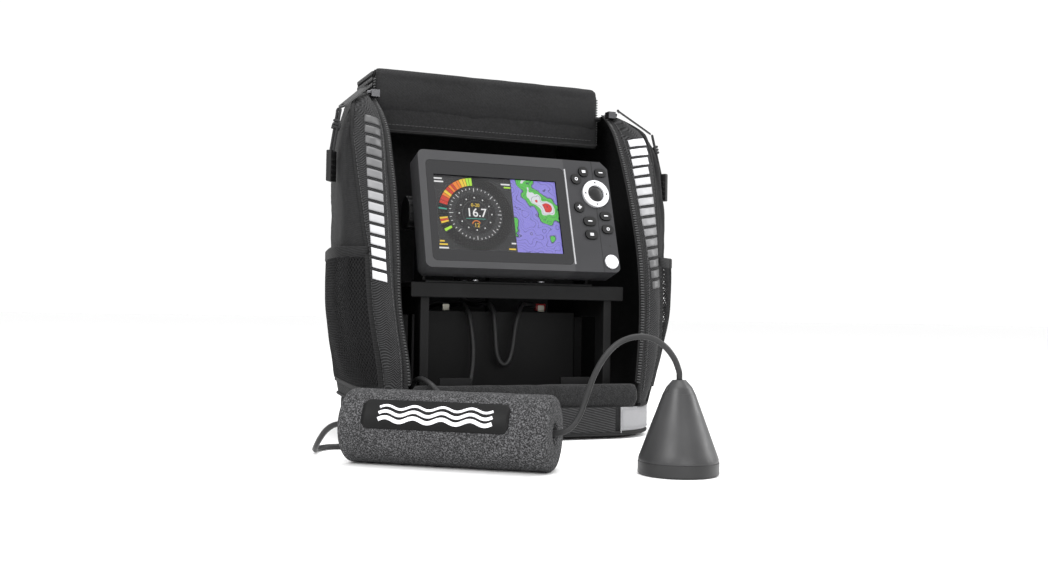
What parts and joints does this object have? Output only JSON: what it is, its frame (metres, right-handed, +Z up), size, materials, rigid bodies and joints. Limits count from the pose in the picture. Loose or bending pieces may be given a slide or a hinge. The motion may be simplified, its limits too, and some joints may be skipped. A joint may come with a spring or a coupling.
{
  "type": "fish finder",
  "caption": "Portable ice-fishing sonar kit: soft case with fold-down flap, battery shuttle, tilting display unit, foam float and conical transducer on a cable.",
  "frame": {"origin": "centre of the flat base of the soft case, on the surface it stands on", "axes": "+Z up, -Y out of the case's front opening, +X to the right as seen from the front"},
  "size_m": [0.3377, 0.4208, 0.3092],
  "materials": {
    "nylon": "heavy woven nylon, slight heather",
    "cheek_nylon": "two-tone woven nylon with reflective bars",
    "grey_panel": "light grey coated fabric",
    "webbing": "ribbed webbing",
    "mesh": "open knitted mesh",
    "zipper": "moulded coil zipper",
    "pull_metal": "black-coated metal",
    "slider_metal": "dark nickel",
    "abs_black": "textured moulding",
    "battery_case": "plain moulded case with plated terminals",
    "bracket_plastic": "glass-filled nylon",
    "screw_steel": "zinc-plated",
    "bezel_plastic": "satin charcoal",
    "rear_plastic": "fine texture",
    "cover_glass": "polished",
    "screen": "lit picture",
    "board": "solder mask",
    "silicone": "soft silicone",
    "socket_plastic": "moulded",
    "key_rubber": "matt keys with light symbols",
    "silver_plastic": "silver satin",
    "cable_rubber": "matt jacket",
    "foam": "speckled closed-cell foam",
    "probe_plastic": "satin moulding",
    "ceramic": "fired ceramic"
  },
  "bodies": {
    "root": {"base_pan": "nylon", "corner_guards": "grey_panel", "hook_strip": "webbing", "front_lip": "nylon", "back_panel": "nylon", "side_panel_left": "cheek_nylon", "side_panel_right": "cheek_nylon", "roof_panel": "nylon", "zipper_tapes": "zipper", "mesh_pocket_left": "mesh", "mesh_pocket_right": "mesh", "carry_handle": "webbing", "shuttle_tray": "abs_black", "shuttle_stand": "abs_black", "battery": "battery_case", "power_cable": "cable_rubber", "gimbal_bracket": "bracket_plastic", "bracket_screws": "screw_steel", "transducer_cable": "cable_rubber", "cable_coil": "cable_rubber", "transducer_shell": "probe_plastic", "transducer_base": "probe_plastic", "transducer_cap": "probe_plastic", "piezo_element": "ceramic"},
    "head": {"front_bezel": "bezel_plastic", "rear_case": "rear_plastic", "display_window": "cover_glass", "lcd_panel": "screen", "main_board": "board", "keypad_mat": "silicone", "case_screws": "screw_steel", "rear_sockets": "socket_plastic", "power_plug": "cable_rubber", "transducer_plug": "cable_rubber"},
    "knob_left": {"knob_left": "bracket_plastic"},
    "knob_right": {"knob_right": "bracket_plastic"},
    "card_door": {"card_door": "rear_plastic"},
    "cursor_pivot": {"cursor_pivot": "silicone"},
    "cursor_pad": {"cursor_pad": "silver_plastic"},
    "key_power": {"key_power": "silver_plastic"},
    "key_menu": {"key_menu": "key_rubber"},
    "key_view": {"key_view": "key_rubber"},
    "key_exit": {"key_exit": "key_rubber"},
    "key_zoom_in": {"key_zoom_in": "key_rubber"},
    "key_zoom_out": {"key_zoom_out": "key_rubber"},
    "key_mark": {"key_mark": "key_rubber"},
    "key_goto": {"key_goto": "key_rubber"},
    "key_check": {"key_check": "key_rubber"},
    "zipper_slider_left": {"zipper_slider_left": "slider_metal"},
    "zipper_slider_right": {"zipper_slider_right": "slider_metal"},
    "pull_tab_left": {"pull_tab_left": "pull_metal"},
    "pull_tab_right": {"pull_tab_right": "pull_metal"},
    "cord_pull_left": {"cord_pull_left": "cable_rubber"},
    "cord_pull_right": {"cord_pull_right": "cable_rubber"},
    "float_body": {"float_body": "foam"},
    "flap_1": {"flap_panel_1": "nylon"},
    "flap_2": {"flap_panel_2": "nylon"},
    "flap_3": {"flap_panel_3": "nylon"},
    "flap_4": {"flap_panel_4": "nylon"},
    "flap_5": {"flap_panel_5": "nylon"}
  },
  "joints": [
    {"name": "head_tilt", "type": "hinge", "parent": "root", "child": "head", "pos_m": [0, -0.027, 0.18353], "axis": [1, 0, 0], "range_deg": [-8, 6], "deforming": ["transducer_cable", "power_cable"]},
    {"name": "knob_turn_left", "type": "hinge", "parent": "head", "child": "knob_left", "pos_m": [0, -0.027, 0.18353], "axis": [-1, 0, 0], "continuous": true},
    {"name": "knob_turn_right", "type": "hinge", "parent": "head", "child": "knob_right", "pos_m": [0, -0.027, 0.18353], "axis": [1, 0, 0], "continuous": true},
    {"name": "press_key_menu", "type": "slide", "parent": "head", "child": "key_menu", "axis": [0, 0.9537, -0.3007], "range_m": [0, 0.0008], "stiffness_N_per_m": 350},
    {"name": "press_key_view", "type": "slide", "parent": "head", "child": "key_view", "axis": [0, 0.9537, -0.3007], "range_m": [0, 0.0008], "stiffness_N_per_m": 350},
    {"name": "press_key_exit", "type": "slide", "parent": "head", "child": "key_exit", "axis": [0, 0.9537, -0.3007], "range_m": [0, 0.0008], "stiffness_N_per_m": 350},
    {"name": "press_key_zoom_in", "type": "slide", "parent": "head", "child": "key_zoom_in", "axis": [0, 0.9537, -0.3007], "range_m": [0, 0.0008], "stiffness_N_per_m": 350},
    {"name": "press_key_zoom_out", "type": "slide", "parent": "head", "child": "key_zoom_out", "axis": [0, 0.9537, -0.3007], "range_m": [0, 0.0008], "stiffness_N_per_m": 350},
    {"name": "press_key_mark", "type": "slide", "parent": "head", "child": "key_mark", "axis": [0, 0.9537, -0.3007], "range_m": [0, 0.0008], "stiffness_N_per_m": 350},
    {"name": "press_key_goto", "type": "slide", "parent": "head", "child": "key_goto", "axis": [0, 0.9537, -0.3007], "range_m": [0, 0.0008], "stiffness_N_per_m": 350},
    {"name": "press_key_check", "type": "slide", "parent": "head", "child": "key_check", "axis": [0, 0.9537, -0.3007], "range_m": [0, 0.0008], "stiffness_N_per_m": 350},
    {"name": "press_key_power", "type": "slide", "parent": "head", "child": "key_power", "axis": [0, 0.9537, -0.3007], "range_m": [0, 0.0008], "stiffness_N_per_m": 350},
    {"name": "cursor_tilt_up", "type": "hinge", "parent": "head", "child": "cursor_pivot", "pos_m": [0.0708, -0.05513, 0.20341], "axis": [1, 0, 0], "range_deg": [-3, 3], "stiffness_Nm_per_rad": 0.05},
    {"name": "cursor_tilt_side", "type": "hinge", "parent": "cursor_pivot", "child": "cursor_pad", "pos_m": [0.0708, -0.05513, 0.20341], "axis": [0, 0.3007, 0.9537], "range_deg": [-3, 3], "stiffness_Nm_per_rad": 0.05},
    {"name": "card_door_open", "type": "hinge", "parent": "head", "child": "card_door", "pos_m": [0.0618, -0.00409, 0.17474], "axis": [0, -0.3007, -0.9537], "range_deg": [0, 100]},
    {"name": "flap_fold_1", "type": "hinge", "parent": "root", "child": "flap_1", "pos_m": [0, 0.0156, 0.2894], "axis": [1, 0, 0], "range_deg": [0, 200]},
    {"name": "flap_fold_2", "type": "hinge", "parent": "flap_1", "child": "flap_2", "pos_m": [0, 0.0736, 0.2942], "axis": [1, 0, 0], "range_deg": [-152, 0]},
    {"name": "flap_fold_3", "type": "hinge", "parent": "flap_2", "child": "flap_3", "pos_m": [0, 0.0156, 0.2994], "axis": [1, 0, 0], "range_deg": [0, 206]},
    {"name": "flap_fold_4", "type": "hinge", "parent": "flap_3", "child": "flap_4", "pos_m": [0, 0.0736, 0.3046], "axis": [1, 0, 0], "range_deg": [-168, 0]},
    {"name": "flap_fold_5", "type": "hinge", "parent": "flap_4", "child": "flap_5", "pos_m": [0, 0.0136, 0.3046], "axis": [1, 0, 0], "range_deg": [-84, 0]},
    {"name": "zipper_travel_right", "type": "slide", "parent": "root", "child": "zipper_slider_right", "axis": [-0.2027, -0.7796, -0.5925], "range_m": [0, 0.008]},
    {"name": "tab_swing_right", "type": "hinge", "parent": "zipper_slider_right", "child": "pull_tab_right", "pos_m": [0.1187, -0.0085, 0.2885], "axis": [-0.5736, -0.8192, 0], "range_deg": [0, 90]},
    {"name": "cord_swing_right", "type": "hinge", "parent": "pull_tab_right", "child": "cord_pull_right", "pos_m": [0.14453, -0.02659, 0.26435], "axis": [-0.5736, -0.8192, 0], "range_deg": [0, 40]},
    {"name": "zipper_travel_left", "type": "slide", "parent": "root", "child": "zipper_slider_left", "axis": [0.2027, -0.7796, -0.5925], "range_m": [0, 0.008]},
    {"name": "tab_swing_left", "type": "hinge", "parent": "zipper_slider_left", "child": "pull_tab_left", "pos_m": [-0.1187, -0.0085, 0.2885], "axis": [-0.5736, 0.8192, 0], "range_deg": [0, 90]},
    {"name": "cord_swing_left", "type": "hinge", "parent": "pull_tab_left", "child": "cord_pull_left", "pos_m": [-0.14453, -0.02659, 0.26435], "axis": [-0.5736, 0.8192, 0], "range_deg": [0, 40]},
    {"name": "float_slide", "type": "slide", "parent": "root", "child": "float_body", "axis": [0.7891, -0.6143, 0], "range_m": [-0.007, 0.007]}
  ],
  "couplings": [
    {"joint": "flap_fold_2", "follows": "flap_fold_1", "ratio": -0.76},
    {"joint": "flap_fold_3", "follows": "flap_fold_1", "ratio": 1.03},
    {"joint": "flap_fold_4", "follows": "flap_fold_1", "ratio": -0.84},
    {"joint": "flap_fold_5", "follows": "flap_fold_1", "ratio": -0.42}
  ]
}
